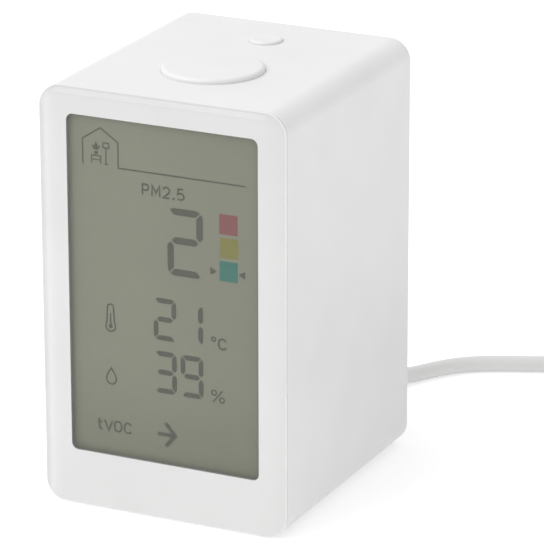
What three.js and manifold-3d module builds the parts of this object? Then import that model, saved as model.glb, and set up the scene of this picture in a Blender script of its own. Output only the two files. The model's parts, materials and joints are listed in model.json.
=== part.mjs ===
// A desktop air quality monitor: a square housing with a clear front window over a reflective
// LCD, two push buttons on top, a fan-driven particle sensor behind a slotted rear cover, and
// a USB-C power lead. Millimetres; +X is the object's right seen from the front, +Y points to
// the back, +Z up. The origin is on the table, under the middle of the housing.
import * as THREE from "three";
import { mergeVertices } from "three/addons/utils/BufferGeometryUtils.js";
import Module from "manifold-3d";

const wasm = await Module();
wasm.setup();

// ---------------------------------------------------------------- driving dimensions
const BODY = { width: 55, depth: 62.6, height: 90, corner: 4.6, wall: 2 };
const FOOT = { proud: 0.5, recess: 0.8, radius: 3.6, inset: 9 };
const WINDOW = { thick: 2.2, edge: 1.8, seam: 0.35 };
const MASK = { thick: 0.25, inset: 0.25, gap: 0.05 };
const DISPLAY = { width: 42.95, height: 72.45, corner: 1.5, z: 48.62 };
const LCD_BEHIND_MASK = 0.85;
const LEDGE = { thick: 1.5, width: 48.8, height: 79.2, corner: 2.6 };
const COVER = { thick: 2.2, recess: 0.4, clearance: 0.22 };
const MODE_BUTTON = { x: 0.25, y: -6.9, hole: 10.75, cap: 10.5, proud: 1.05, travel: 1.0 };
const STANDBY_BUTTON = { x: 0.55, y: 17.2, hole: 3.6, cap: 3.4, proud: 0.6, travel: 0.6 };
const BUTTON_BOARD = { drop: 9.9, thick: 1.2, width: 30, front: -18, back: 23 };
const MAIN_BOARD = { front: -22.3, thick: 1.6, width: 49.6, height: 83.2, z: 45.1 };
const LCD = { width: 45.4, height: 75.8, glass: 1.05, film: 0.2, air: 0.05, ledge: 3.4 };
const SWITCH = { side: 6.2, height: 3.4, plunger: 1.75, bore: 1.95, proud: 1.2 };
const SPRING = { radius: 7.9, wire: 0.3, turns: 4.5 };
const SENSOR = { width: 43.6, height: 53, front: 6, depth: 21, z: 43.2, wall: 1.2 };
const FAN = { x: 0, z: 30.5, radius: 9.2, hub: 4.6, front: 15, back: 22.4, shaft: 0.7 };
const VENTS = { count: 13, pitch: 3.4, width: 30, height: 1.6, lowest: 23 };
const GAS = { x: -9.5, z: 9, width: 15, height: 8.6, slotPitch: 2.7 };
const USB = { x: 8, z: 6.2, boardTop: 4.5, boardY: 20.6, holeX: 7.6, holeY: 17 };
const LEAD = { diameter: 3.5, columns: 3, rows: 4 };
const COIL = { x: 75, y: 65.2, radius: 19.5, lift: 0.4 };
const SCREW = { shank: 0.9, hole: 1.15, head: 1.8, headHeight: 1.2 };
const GAP = 0.3;

// ---------------------------------------------------------------- planes worked out from them
const FRONT = -BODY.depth / 2;
const BACK = BODY.depth / 2;
const BOTTOM = FOOT.proud;
const TOP = BOTTOM + BODY.height;
const MIDDLE_Z = (BOTTOM + TOP) / 2;
const INNER_W = BODY.width - 2 * BODY.wall;
const INNER_H = BODY.height - 2 * BODY.wall;
const INNER_R = BODY.corner - BODY.wall;
const FLOOR = BOTTOM + BODY.wall;
const CEILING = TOP - BODY.wall;
const WINDOW_BACK = FRONT + WINDOW.thick;
const MASK_BACK = WINDOW_BACK + MASK.gap + MASK.thick;
const SHELL_FRONT = WINDOW_BACK + WINDOW.seam;
const LEDGE_BACK = SHELL_FRONT + LEDGE.thick;
const LCD_FRONT = MASK_BACK + LCD_BEHIND_MASK;
const COVER_OUT = BACK - COVER.recess;
const COVER_IN = COVER_OUT - COVER.thick;
const MAIN_BOARD_BACK = MAIN_BOARD.front + MAIN_BOARD.thick;
const BUTTON_BOARD_FOOT = CEILING - BUTTON_BOARD.drop;
const BUTTON_BOARD_TOP = BUTTON_BOARD_FOOT + BUTTON_BOARD.thick;
const SENSOR_BACK = SENSOR.front + SENSOR.depth;
const SENSOR_BASE = SENSOR.z - SENSOR.height / 2;
const GAS_FRONT = COVER_IN - 3.4;
const LCD_Z = DISPLAY.z - 0.4;
const FLANGE_FRONT = LEDGE_BACK + 1.45;
const FLANGE_BACK = FLANGE_FRONT + 1.2;

// Where screws hold the main board at its foot, the rear cover, and the small boards.
const BOARD_SCREWS = [-21, 21].map((x) => ({ x, z: FLOOR + 3.5 }));
const COVER_SCREWS = [-21.3, 21.3].flatMap((x) => [BOTTOM + 5.8, TOP - 5.8].map((z) => ({ x, z })));
const BUTTON_BOARD_SCREWS = [-12.5, 12.5].map((x) => ({ x, y: 9.5 }));
const USB_BOARD_PINS = [-1, 1].map((side) => ({ x: USB.x + side * USB.holeX, y: USB.holeY }));
const FEET = [-1, 1].flatMap((i) =>
  [-1, 1].map((j) => ({ x: i * (BODY.width / 2 - FOOT.inset), y: j * (BODY.depth / 2 - FOOT.inset) })));

// ---------------------------------------------------------------- colours and finishes
const FINISH = {
  white: { color: 0xf0f0ef, roughness: 0.45, metalness: 0 },
  clear: { color: 0xe8ecec, roughness: 0.05, metalness: 0, transparent: true, opacity: 0.3 },
  mask: { color: 0xe6e6e6, roughness: 0.6, metalness: 0 },
  dark: { color: 0x3a3b3a, roughness: 0.7, metalness: 0 },
  lcd: { color: 0x8d8f7d, roughness: 0.3, metalness: 0 },
  glass: { color: 0xc8d0cc, roughness: 0.05, metalness: 0 },
  board: { color: 0x1f5a3a, roughness: 0.5, metalness: 0 },
  steel: { color: 0xb8b9ba, roughness: 0.3, metalness: 1 },
  rubber: { color: 0x4a4a4a, roughness: 0.9, metalness: 0 },
  foam: { color: 0x2c2c2c, roughness: 1, metalness: 0 },
  chip: { color: 0x1c1c1e, roughness: 0.5, metalness: 0 },
  brass: { color: 0xb9975a, roughness: 0.35, metalness: 1 },
  lead: { color: 0xe2e2e2, roughness: 0.5, metalness: 0 },
};

// ---------------------------------------------------------------- geometry helpers
const V = (x, y, z) => new THREE.Vector3(x, y, z);

// Merged positions only, no collapsed triangles, and faces that point outwards.
function closed(geometry) {
  const bare = new THREE.BufferGeometry();
  bare.setAttribute("position", geometry.getAttribute("position"));
  if (geometry.index) bare.setIndex(geometry.index);
  const merged = mergeVertices(bare, 1e-4);
  const at = merged.getAttribute("position");
  const point = (i) => V().fromBufferAttribute(at, i);
  const kept = [];
  let volume = 0;
  for (let i = 0; i < merged.index.count; i += 3) {
    const [a, b, c] = [0, 1, 2].map((k) => merged.index.getX(i + k));
    if (a === b || b === c || a === c) continue;
    kept.push(a, b, c);
    volume += point(a).dot(point(b).cross(point(c)));
  }
  if (volume < 0) {
    for (let i = 0; i < kept.length; i += 3) [kept[i + 1], kept[i + 2]] = [kept[i + 2], kept[i + 1]];
  }
  merged.setIndex(kept);
  return merged;
}

function solid(geometry) {
  const g = closed(geometry);
  return new wasm.Manifold(
    new wasm.Mesh({
      numProp: 3,
      vertProperties: new Float32Array(g.getAttribute("position").array),
      triVerts: new Uint32Array(g.index.array),
    }),
  );
}

function fromSolid(made) {
  const m = made.getMesh();
  const positions = new Float32Array(m.numVert * 3);
  for (let i = 0; i < m.numVert; i++) {
    positions.set(m.vertProperties.subarray(i * m.numProp, i * m.numProp + 3), i * 3);
  }
  const g = new THREE.BufferGeometry();
  g.setAttribute("position", new THREE.BufferAttribute(positions, 3));
  g.setIndex(new THREE.BufferAttribute(new Uint32Array(m.triVerts), 1));
  return g;
}

const join = (...parts) => fromSolid(parts.map(solid).reduce((a, b) => a.add(b)));
const cut = (base, ...tools) => fromSolid(tools.map(solid).reduce((a, b) => a.subtract(b), solid(base)));

function roundedRect(width, height, radius, cx = 0, cy = 0) {
  const [w, h, r] = [width / 2, height / 2, radius];
  const s = new THREE.Shape();
  s.absarc(cx + w - r, cy + h - r, r, 0, Math.PI / 2);
  s.absarc(cx - w + r, cy + h - r, r, Math.PI / 2, Math.PI);
  s.absarc(cx - w + r, cy - h + r, r, Math.PI, Math.PI * 1.5);
  s.absarc(cx + w - r, cy - h + r, r, Math.PI * 1.5, Math.PI * 2);
  s.closePath();
  return s;
}

// A slot shape with round ends.
const stadium = (width, height, cx, cy) => roundedRect(width, height, height / 2 - 0.01, cx, cy);

function disc(radius) {
  const s = new THREE.Shape();
  s.absarc(0, 0, radius, 0, Math.PI * 2);
  return s;
}

const flat = (shape, depth, segments) =>
  new THREE.ExtrudeGeometry(shape, { depth, bevelEnabled: false, curveSegments: segments });

// A shape in X and Z, from y0 back to y1.
function alongY(shape, y0, y1, segments = 3) {
  return flat(shape, y1 - y0, segments).rotateX(Math.PI / 2).translate(0, y1, 0);
}

// A shape in X and Y, from z0 up to z1.
function alongZ(shape, z0, z1, segments = 3) {
  return flat(shape, z1 - z0, segments).translate(0, 0, z0);
}

// A shape in Y and Z, from x0 to x1.
function alongX(shape, x0, x1, segments = 3) {
  const turn = new THREE.Matrix4().makeBasis(V(0, 1, 0), V(0, 0, 1), V(1, 0, 0));
  return flat(shape, x1 - x0, segments).applyMatrix4(turn).translate(x0, 0, 0);
}

function box(x0, x1, y0, y1, z0, z1) {
  return new THREE.BoxGeometry(x1 - x0, y1 - y0, z1 - z0).translate(
    (x0 + x1) / 2,
    (y0 + y1) / 2,
    (z0 + z1) / 2,
  );
}

// A profile of [radius, height] pairs turned about +Z at (x, y), or about +Y at (x, z).
function turned(profile, segments, x = 0, y = 0) {
  const points = profile.map(([r, h]) => new THREE.Vector2(r, h));
  return new THREE.LatheGeometry(points, segments).rotateX(Math.PI / 2).translate(x, y, 0);
}

function turnedY(profile, segments, x, z) {
  const points = profile.map(([r, h]) => new THREE.Vector2(r, h));
  return new THREE.LatheGeometry(points, segments).translate(x, 0, z);
}

const rodY = (radius, x, z, y0, y1, segments = 12) =>
  turnedY([[0, y0], [radius, y0], [radius, y1], [0, y1]], segments, x, z);

const rodZ = (radius, x, y, z0, z1, segments = 12) =>
  turned([[0, z0], [radius, z0], [radius, z1], [0, z1]], segments, x, y);

// Rings of equal length joined in order, with a fan over each end.
function lofted(rings) {
  const n = rings[0].length;
  const centre = (ring) => ring.reduce((a, p) => a.add(p), V(0, 0, 0)).divideScalar(n);
  const vertices = [...rings.flat(), centre(rings[0]), centre(rings[rings.length - 1])];
  const index = [];
  for (let k = 0; k + 1 < rings.length; k++) {
    for (let i = 0; i < n; i++) {
      const [a, b] = [k * n + i, k * n + ((i + 1) % n)];
      index.push(a, b, b + n, a, b + n, a + n);
    }
  }
  const [first, last] = [rings.length * n, rings.length * n + 1];
  for (let i = 0; i < n; i++) {
    const j = (i + 1) % n;
    index.push(first, j, i, last, (rings.length - 1) * n + i, (rings.length - 1) * n + j);
  }
  const g = new THREE.BufferGeometry().setFromPoints(vertices);
  return g.setIndex(index);
}

// A block in the housing's outline from y0 to y1 whose end edges are rounded by the given radii.
function roundedBlock(y0, y1, frontEdge, backEdge, frontSteps = 2) {
  const ring = (inset, y) =>
    roundedRect(BODY.width - 2 * inset, BODY.height - 2 * inset, BODY.corner - inset, 0, MIDDLE_Z)
      .getPoints(4)
      .slice(0, -1)
      .map((p) => V(p.x, y, p.y));
  const quarter = (steps) => Array.from({ length: steps + 1 }, (_, k) => (k * Math.PI) / (2 * steps));
  const front = quarter(frontSteps)
    .map((a) => ring(frontEdge * (1 - Math.sin(a)), y0 + frontEdge * (1 - Math.cos(a))));
  const back = quarter(2)
    .map((a) => ring(backEdge * (1 - Math.sin(a)), y1 - backEdge * (1 - Math.cos(a))));
  return lofted([...front, ...back.reverse()]);
}

const root = new THREE.Group();

function add(name, geometry, finish) {
  const mesh = new THREE.Mesh(closed(geometry), new THREE.MeshStandardMaterial(FINISH[finish]));
  mesh.name = name;
  root.add(mesh);
}

// A pan-head screw: its head's seat is at the given place and its shank runs along -Y, +Y or +Z.
function screwProfile(length) {
  const { shank, head, headHeight } = SCREW;
  return [
    [0, -length],
    [shank * 0.6, -length],
    [shank, -length + 0.8],
    [shank, 0],
    [head, 0],
    [head, headHeight * 0.6],
    [head * 0.7, headHeight],
    [0, headHeight],
  ];
}

// ---------------------------------------------------------------- housing
const POST = 2.7;
const BITE = 0.3; // how far a post or rib runs into the wall that it grows from

// A post for a rear screw, with a rib to each of the two walls beside it.
function coverPost({ x, z }) {
  const [y0, y1] = [SENSOR.front, COVER_IN - GAP];
  const wallX = Math.sign(x) * (INNER_W / 2 + BITE);
  const wallZ = z < MIDDLE_Z ? FLOOR - BITE : CEILING + BITE;
  return join(
    rodY(POST, x, z, y0, y1),
    box(Math.min(x, wallX), Math.max(x, wallX), y0, y1, z - 0.8, z + 0.8),
    box(x - 0.8, x + 0.8, y0, y1, Math.min(z, wallZ), Math.max(z, wallZ)),
  );
}

// A rib on each side wall that the sensor's case stands on.
function sensorShelf(side) {
  const [inner, outer] = [side * 17, side * (INNER_W / 2 + BITE)];
  const [x0, x1] = [Math.min(inner, outer), Math.max(inner, outer)];
  return box(x0, x1, SENSOR.front + 2, SENSOR_BACK - 3, SENSOR_BASE - 2.2, SENSOR_BASE - 0.2);
}

function bodyShell() {
  const outside = roundedBlock(SHELL_FRONT, BACK, 0.15, 0.8);
  const ledgeHole = roundedRect(LEDGE.width, LEDGE.height, LEDGE.corner, 0, LCD_Z);
  const hollow = cut(
    outside,
    alongY(roundedRect(INNER_W, INNER_H, INNER_R, 0, MIDDLE_Z), LEDGE_BACK, BACK + 1),
    alongY(ledgeHole, SHELL_FRONT - 1, LEDGE_BACK + 1),
    ...[MODE_BUTTON, STANDBY_BUTTON].map((b) => rodZ(b.hole, b.x, b.y, CEILING - 1, TOP + 1, 28)),
    ...FEET.map(({ x, y }) => rodZ(FOOT.radius + 0.15, x, y, BOTTOM - 1, BOTTOM + FOOT.recess)),
  );
  const posted = join(
    hollow,
    ...COVER_SCREWS.map(coverPost),
    ...BOARD_SCREWS.map(({ x, z }) => rodY(POST, x, z, LEDGE_BACK - BITE, FLANGE_FRONT - 0.15)),
    ...BUTTON_BOARD_SCREWS.map(({ x, y }) => rodZ(2.3, x, y, BUTTON_BOARD_TOP + 0.1, CEILING + BITE)),
    ...USB_BOARD_PINS.map(({ x, y }) => rodZ(1.7, x, y, FLOOR - BITE, USB.boardTop - 1.1)),
    ...[-1, 1].map(sensorShelf),
  );
  return cut(
    posted,
    ...COVER_SCREWS.map(({ x, z }) => rodY(SCREW.hole, x, z, COVER_IN - 8, COVER_IN + 1, 8)),
    ...BOARD_SCREWS.map(({ x, z }) => rodY(SCREW.hole, x, z, LEDGE_BACK - 0.6, FLANGE_FRONT + 1, 8)),
    ...BUTTON_BOARD_SCREWS.map(({ x, y }) =>
      rodZ(SCREW.hole, x, y, BUTTON_BOARD_TOP - 1, BUTTON_BOARD_TOP + 5.5, 8)),
  );
}

function windowMask() {
  const y0 = WINDOW_BACK + MASK.gap;
  const { inset } = MASK;
  const outline = roundedRect(
    BODY.width - 2 * inset, BODY.height - 2 * inset, BODY.corner - inset, 0, MIDDLE_Z);
  const aperture = roundedRect(DISPLAY.width, DISPLAY.height, DISPLAY.corner, 0, DISPLAY.z);
  return cut(alongY(outline, y0, MASK_BACK), alongY(aperture, y0 - 1, MASK_BACK + 1));
}

// A flat plate inside the housing's rear edge, with vents for the sensor, the gas board and air.
function rearCover() {
  const c = COVER.clearance;
  const outline = roundedRect(INNER_W - 2 * c, INNER_H - 2 * c, INNER_R - c, 0, MIDDLE_Z);
  const through = (shape, segments) => alongY(shape, COVER_IN - 1, COVER_OUT + 1, segments);
  const vents = Array.from({ length: VENTS.count }, (_, i) =>
    through(stadium(VENTS.width, VENTS.height, 0, VENTS.lowest + i * VENTS.pitch), 1));
  const gasVents = [-1, 0, 1].map((k) => through(stadium(11, 1.4, GAS.x, GAS.z + k * GAS.slotPitch), 1));
  return cut(
    alongY(outline, COVER_IN, COVER_OUT, 4),
    ...vents,
    ...gasVents,
    through(stadium(9.9, 4.1, USB.x, USB.z), 3),
    ...COVER_SCREWS.map(({ x, z }) => rodY(SCREW.hole, x, z, COVER_IN - 1, COVER_OUT + 1, 8)),
    ...COVER_SCREWS.map(({ x, z }) => rodY(SCREW.head + 0.4, x, z, COVER_OUT - 1.5, COVER_OUT + 1)),
  );
}

// ---------------------------------------------------------------- display
const BOARD_TOP = MAIN_BOARD.z + MAIN_BOARD.height / 2;

// A hook on the carrier that holds the main board's top edge.
function boardHook(x) {
  const [z0, z1] = [BOARD_TOP + 0.25, BOARD_TOP + 1.4];
  return join(
    box(x - 3, x + 3, FLANGE_FRONT, MAIN_BOARD_BACK + 1, z0, z1),
    box(x - 3, x + 3, MAIN_BOARD_BACK + 0.15, MAIN_BOARD_BACK + 1, z0 - 1, z1),
  );
}

// The dark frame that stands in the housing's front opening and holds the glass from behind.
function displayCarrier() {
  const lipFront = MASK_BACK + 0.08;
  const sleeve = roundedRect(LEDGE.width - 0.6, LEDGE.height - 0.6, LEDGE.corner - 0.3, 0, LCD_Z);
  const flange = roundedRect(INNER_W - 0.6, INNER_H - 1.2, 2, 0, MIDDLE_Z);
  const lip = roundedRect(DISPLAY.width + 0.4, DISPLAY.height + 0.4, DISPLAY.corner + 0.2, 0, DISPLAY.z);
  return cut(
    join(
      alongY(sleeve, lipFront, FLANGE_BACK),
      alongY(flange, FLANGE_FRONT, FLANGE_BACK),
      ...BOARD_SCREWS.map(({ x, z }) => rodY(2.3, x, z, FLANGE_BACK - BITE, MAIN_BOARD.front - 0.1)),
      ...[-16, 16].map(boardHook),
    ),
    alongY(lip, lipFront - 1, FLANGE_BACK + 1),
    alongY(roundedRect(46, 76.4, 0.8, 0, LCD_Z), LCD_FRONT - 0.05, FLANGE_BACK + 1),
    ...BOARD_SCREWS.map(({ x, z }) => rodY(SCREW.hole, x, z, FLANGE_FRONT - 1, MAIN_BOARD.front + 1, 8)),
  );
}

// The layers of the display from the front: polariser, front glass, rear glass, reflector.
function displayParts() {
  const shortZ = LCD_Z + LCD.ledge / 2;
  const layers = [
    ["lcd_polariser", LCD.film, LCD.height - 0.6, LCD_Z, "lcd"],
    ["lcd_front_glass", LCD.glass, LCD.height, LCD_Z, "glass"],
    ["lcd_rear_glass", LCD.glass, LCD.height - LCD.ledge, shortZ, "glass"],
    ["lcd_reflector", LCD.film, LCD.height - LCD.ledge - 0.6, shortZ, "steel"],
  ];
  let y = LCD_FRONT;
  for (const [name, thick, height, z, finish] of layers) {
    add(name, box(-LCD.width / 2, LCD.width / 2, y, y + thick, z - height / 2, z + height / 2), finish);
    y += thick + LCD.air;
  }
  const contactFront = LCD_FRONT + LCD.film + LCD.glass + 2 * LCD.air;
  const foot = LCD_Z - LCD.height / 2;
  add("zebra_strip", box(-21, 21, contactFront, MAIN_BOARD.front - 0.05, foot + 0.5, foot + 2.7), "foam");
}

// ---------------------------------------------------------------- boards
function mainBoard() {
  const plate = alongY(
    roundedRect(MAIN_BOARD.width, MAIN_BOARD.height, 1.5, 0, MAIN_BOARD.z),
    MAIN_BOARD.front,
    MAIN_BOARD_BACK,
    2,
  );
  const holes = BOARD_SCREWS.map(({ x, z }) =>
    rodY(SCREW.hole, x, z, MAIN_BOARD.front - 1, MAIN_BOARD_BACK + 1, 8));
  return cut(plate, ...holes);
}

function boardParts() {
  const y0 = MAIN_BOARD_BACK + 0.05;
  add("main_board", mainBoard(), "board");
  add("controller_chip", box(-4, 4, y0, y0 + 1, 38, 46), "chip");
  add("radio_shield", alongY(roundedRect(13, 17, 0.6, 8, 66), y0, y0 + 2.4, 1), "steel");
  BOARD_SCREWS.forEach(({ x, z }, i) => {
    const screw = turnedY(screwProfile(5.9), 8, 0, 0).translate(x, MAIN_BOARD_BACK + 0.1, z);
    add(`board_screw_${i + 1}`, screw, "steel");
  });
}

// ---------------------------------------------------------------- push buttons
function buttonBoard() {
  const { width, front, back } = BUTTON_BOARD;
  const outline = roundedRect(width, back - front, 2, 0, (front + back) / 2);
  const holes = BUTTON_BOARD_SCREWS.map(({ x, y }) =>
    rodZ(SCREW.hole, x, y, BUTTON_BOARD_FOOT - 1, BUTTON_BOARD_TOP + 1, 8));
  return cut(alongZ(outline, BUTTON_BOARD_FOOT, BUTTON_BOARD_TOP, 2), ...holes);
}

// A tact switch: a square body with a bored top, and the plunger that sinks into it.
function tactSwitch(name, { x, y, travel }) {
  const base = BUTTON_BOARD_TOP + 0.05;
  const top = base + SWITCH.height;
  const plungerFoot = top - 0.8;
  const body = alongZ(roundedRect(SWITCH.side, SWITCH.side, 0.5, x, y), base, top, 2);
  const bore = rodZ(SWITCH.bore, x, y, plungerFoot - travel - 0.15, top + 1);
  add(`${name}_switch_body`, cut(body, bore), "chip");
  add(`${name}_switch_plunger`, rodZ(SWITCH.plunger, x, y, plungerFoot, top + SWITCH.proud), "dark");
  return top + SWITCH.proud;
}

// A cap with a rounded rim, a skirt, a flange that stops under the top wall, and a centre post.
function buttonCap({ x, y, cap, proud }, flange, wall, postFoot, postRadius, segments) {
  const top = TOP + proud;
  const edge = Math.min(0.9, proud);
  const flangeTop = CEILING - GAP;
  const flangeFoot = flangeTop - 1.2;
  const rim = [0, 1, 2, 3].map((k) => {
    const a = (k * Math.PI) / 6;
    return [cap - edge * (1 - Math.cos(a)), top - edge * (1 - Math.sin(a))];
  });
  const inner = cap - wall;
  const outline = [
    [0, postFoot],
    [postRadius, postFoot],
    [postRadius, top - 1.8],
    [inner, top - 1.8],
    [inner, flangeFoot],
    [flange, flangeFoot],
    [flange, flangeTop],
    [cap, flangeTop],
    ...rim,
    [0, top],
  ];
  return turned(outline, segments, x, y);
}

class Helix extends THREE.Curve {
  constructor(radius, z0, z1, turns) {
    super();
    Object.assign(this, { radius, z0, z1, turns });
  }
  getPoint(t, target = V()) {
    const a = t * this.turns * Math.PI * 2;
    const z = this.z0 + t * (this.z1 - this.z0);
    return target.set(this.radius * Math.cos(a), this.radius * Math.sin(a), z);
  }
}

function buttonSpring() {
  const foot = BUTTON_BOARD_TOP + SPRING.wire + 0.1;
  const head = TOP + MODE_BUTTON.proud - 1.8 - SPRING.wire - 0.1;
  const section = disc(SPRING.wire);
  const g = new THREE.ExtrudeGeometry(section, {
    steps: 54,
    curveSegments: 2,
    extrudePath: new Helix(SPRING.radius, foot, head, SPRING.turns),
  });
  return g.translate(MODE_BUTTON.x, MODE_BUTTON.y, 0);
}

function buttonParts() {
  add("button_board", buttonBoard(), "board");
  BUTTON_BOARD_SCREWS.forEach(({ x, y }, i) => {
    const screw = turned(screwProfile(5.8), 8).rotateX(Math.PI).translate(x, y, BUTTON_BOARD_FOOT - 0.1);
    add(`button_board_screw_${i + 1}`, screw, "steel");
  });
  const modeTop = tactSwitch("mode", MODE_BUTTON);
  const standbyTop = tactSwitch("standby", STANDBY_BUTTON);
  add("mode_button", buttonCap(MODE_BUTTON, 11.8, 1.4, modeTop + GAP, 2, 28), "white");
  add("standby_button", buttonCap(STANDBY_BUTTON, 4.6, 1.0, standbyTop + GAP, 1.2, 20), "white");
  add("mode_button_spring", buttonSpring(), "steel");
}

// ---------------------------------------------------------------- particle sensor and fan
function sensorParts() {
  const { width, height, front, wall, z } = SENSOR;
  const lidFront = SENSOR_BACK - 1;
  const tub = cut(
    alongY(roundedRect(width, height, 1.5, 0, z), front, lidFront - 0.1, 2),
    alongY(roundedRect(width - 2 * wall, height - 2 * wall, 0.8, 0, z), front + wall, lidFront + 1, 2),
  );
  add("sensor_case", tub, "dark");

  const inlets = [0, 1, 2, 3].map((i) =>
    alongY(stadium(26, VENTS.height, 0, 53.6 + i * VENTS.pitch), lidFront - 1, SENSOR_BACK + 1, 1));
  const outlet = rodY(FAN.radius, FAN.x, FAN.z, lidFront - 1, SENSOR_BACK + 1, 24);
  const plate = alongY(roundedRect(width, height, 1.5, 0, z), lidFront, SENSOR_BACK, 2);
  add("sensor_lid", cut(plate, ...inlets, outlet), "steel");

  const boardFront = front + wall + 0.3;
  add("sensor_board", alongY(roundedRect(38, 48, 1, 0, z), boardFront, boardFront + 1, 2), "board");
  const onBoard = boardFront + 1.05;
  add("laser_diode", rodY(3, -11, 58, onBoard, onBoard + 8), "brass");
  add("photodiode", box(6, 10, onBoard, onBoard + 2, 56, 60), "chip");

  const motor = join(
    rodY(3.4, FAN.x, FAN.z, onBoard, FAN.front + 1.6, 20),
    rodY(FAN.shaft, FAN.x, FAN.z, onBoard, FAN.back - 1.4, 12),
  );
  add("fan_motor", motor, "chip");
  add("fan_rotor", fanRotor(), "dark");

  const gasket = cut(
    box(-18, 18, SENSOR_BACK + 0.1, COVER_IN - 0.1, z - 24.5, z + 24.5),
    box(-15.5, 15.5, SENSOR_BACK - 1, COVER_IN + 1, 52, 65.4),
    box(-15.5, 15.5, SENSOR_BACK - 1, COVER_IN + 1, FAN.z - 10, FAN.z + 10),
  );
  add("duct_gasket", gasket, "foam");
}

// A cup that runs on the motor's shaft, with seven raked blades.
function fanRotor() {
  const blades = 7;
  const cup = [
    [0.95, FAN.back - 2.2],
    [3.8, FAN.back - 2.2],
    [3.8, FAN.front],
    [FAN.hub, FAN.front],
    [FAN.hub, FAN.back - 0.6],
    [FAN.hub - 0.6, FAN.back],
    [0.95, FAN.back],
    [0.95, FAN.back - 2.2],
  ];
  const blade = () =>
    new THREE.BoxGeometry(FAN.radius - FAN.hub + 0.1, 6.2, 0.7)
      .rotateX(0.75)
      .translate((FAN.radius + FAN.hub) / 2 - 0.45, (FAN.front + FAN.back) / 2, 0);
  const wheel = Array.from({ length: blades }, (_, i) => blade().rotateY((i * Math.PI * 2) / blades));
  return join(turnedY(cup, 20, 0, 0), ...wheel).translate(FAN.x, 0, FAN.z);
}

function gasParts() {
  const { x, z, width, height } = GAS;
  add("gas_board", alongY(roundedRect(width, height, 0.6, x, z), GAS_FRONT, GAS_FRONT + 1, 1), "board");
  const face = GAS_FRONT + 1.05;
  add("gas_sensor", box(x - 5, x - 2, face, face + 1, z - 1.5, z + 1.5), "steel");
  add("humidity_sensor", box(x + 2.5, x + 5, face, face + 0.9, z - 1.25, z + 1.25), "chip");
}

// ---------------------------------------------------------------- power inlet and harnesses
function usbParts() {
  const boardFoot = USB.boardTop - 1;
  add("usb_board", alongZ(roundedRect(19, 14, 0.8, USB.x, USB.boardY), boardFoot, USB.boardTop, 1), "board");
  const mouth = COVER_OUT - 0.2;
  const shell = cut(
    alongY(stadium(9.3, 3.4, USB.x, USB.z), mouth - 7.6, mouth),
    alongY(stadium(8.7, 2.8, USB.x, USB.z), mouth - 6.9, mouth + 1),
  );
  add("usb_socket_shell", shell, "steel");
  const tongue = box(USB.x - 3.3, USB.x + 3.3, mouth - 6.8, mouth - 1.2, USB.z - 0.35, USB.z + 0.35);
  add("usb_socket_tongue", tongue, "chip");
}

// A flat harness of the given width whose centreline runs through points in Y and Z.
function harness(points, x0, x1, thick = 0.9) {
  const curve = new THREE.CatmullRomCurve3(points.map(([y, z]) => V(y, z, 0)));
  const steps = 12;
  const at = curve.getPoints(steps);
  const side = (sign) =>
    at.map((p, i) => {
      const t = curve.getTangent(i / steps);
      return new THREE.Vector2(p.x - (sign * t.y * thick) / 2, p.y + (sign * t.x * thick) / 2);
    });
  return alongX(new THREE.Shape([...side(1), ...side(-1).reverse()]), x0, x1);
}

function harnessParts() {
  const back = MAIN_BOARD_BACK + 0.2;
  const toSensor = [
    [back, 30],
    [back + 4, 29.4],
    [-8, 25],
    [SENSOR.front - 4, 27.4],
    [SENSOR.front - 0.2, 28],
  ];
  add("sensor_harness", harness(toSensor, -16, -9), "lead");
  const toUsb = [
    [back, 15],
    [back + 5, 14],
    [-4, 5.2],
    [8, 5.6],
    [13, 5.2],
  ];
  add("power_harness", harness(toUsb, USB.x - 2.5, USB.x + 2.5), "lead");
}

// ---------------------------------------------------------------- power lead
const USB_C = { face: BACK + GAP, length: 12.4, width: 12, height: 6.6, relief: 5.6 };
const USB_A = { x: 98.6, z: 4.1, back: 34, length: 20, width: 13, height: 7.6, relief: 5, tip: 18.6 };
const LEAD_START = USB_C.face + USB_C.length + USB_C.relief;
const LIE = LEAD.diameter / 2;
const COIL_WIDTH = LEAD.diameter * LEAD.columns;
const COIL_HEIGHT = LEAD.diameter * LEAD.rows;

// From the plug's relief, down to the table and round to the right, up to the coil's side.
const LEAD_ROUTE = [
  [USB.x, LEAD_START, USB.z],
  [8.05, 52.1, 6],
  [8.4, 54.9, 5.3],
  [9, 57.8, 4.2],
  [9.9, 60.5, 3.1],
  [11.1, 63, 2.3],
  [12.7, 65.8, 1.85],
  [14.6, 69, LIE],
  [16.9, 72.6, LIE],
  [19.6, 75.9, LIE],
  [23.3, 78.9, LIE],
  [27.6, 81.2, LIE],
  [32.6, 83.4, LIE],
  [37.4, 85.5, LIE],
  [43.4, 87.5, LIE],
  [49.8, 88.6, LIE],
  [56, 89, LIE + 0.1],
  [62, 88.9, LIE + 0.2],
];

// From the coil's top row down to the plug that lies beside it.
const TAIL_ROUTE = [
  [98.1, 53, 11.2],
  [98.3, 49.4, 9.6],
  [98.5, 45.6, 7.6],
  [98.6, 41.8, 5.8],
  [98.6, 38, 4.6],
  [USB_A.x, USB_A.back + GAP, USB_A.z],
];

function tube(route, steps) {
  const path = new THREE.CatmullRomCurve3(route.map(([x, y, z]) => V(x, y, z)));
  return new THREE.ExtrudeGeometry(disc(LEAD.diameter / 2), { steps, curveSegments: 4, extrudePath: path });
}

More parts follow.
